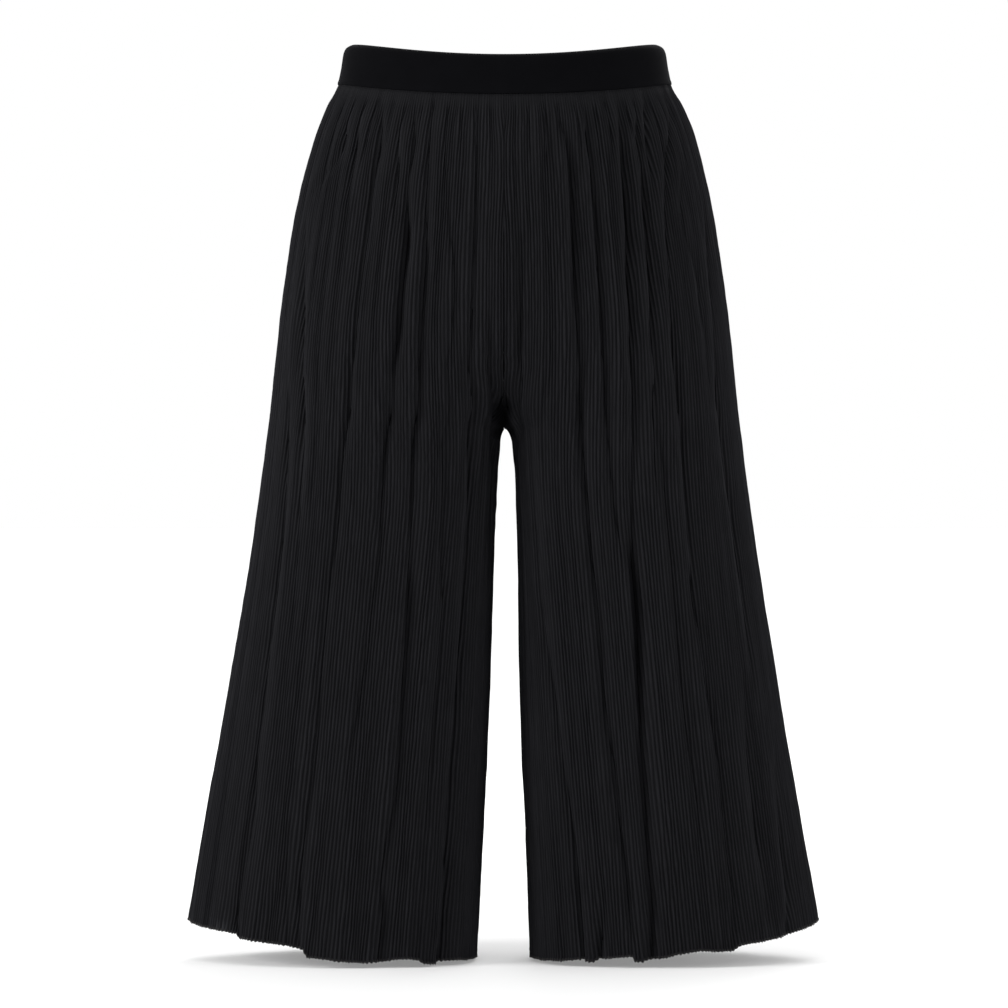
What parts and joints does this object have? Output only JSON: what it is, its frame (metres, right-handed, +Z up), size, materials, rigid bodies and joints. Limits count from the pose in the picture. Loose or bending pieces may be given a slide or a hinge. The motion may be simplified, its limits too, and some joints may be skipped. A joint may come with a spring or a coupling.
{
  "type": "capri trousers",
  "caption": "Wide-leg cropped trousers of fine lengthwise pleats gathered into a plain velvety waistband, filled out as if worn, open at the waist and hems.",
  "frame": {"origin": "middle of the waist opening, halfway up the waistband at the side seams, where the wearer holds the trousers up", "axes": "+Z up along the body; the front faces -Y; the wearer's left leg is at +X"},
  "size_m": [0.5018, 0.2277, 0.727],
  "materials": {
    "pleated_cloth": "matt black woven cloth set in fine lengthwise pleats",
    "band_pile": "deep black short pile, like velvet"
  },
  "bodies": {
    "root": {"front_left_leg": "pleated_cloth", "front_right_leg": "pleated_cloth", "back_left_leg": "pleated_cloth", "back_right_leg": "pleated_cloth", "waistband_front": "band_pile", "waistband_back": "band_pile"}
  },
  "joints": []
}
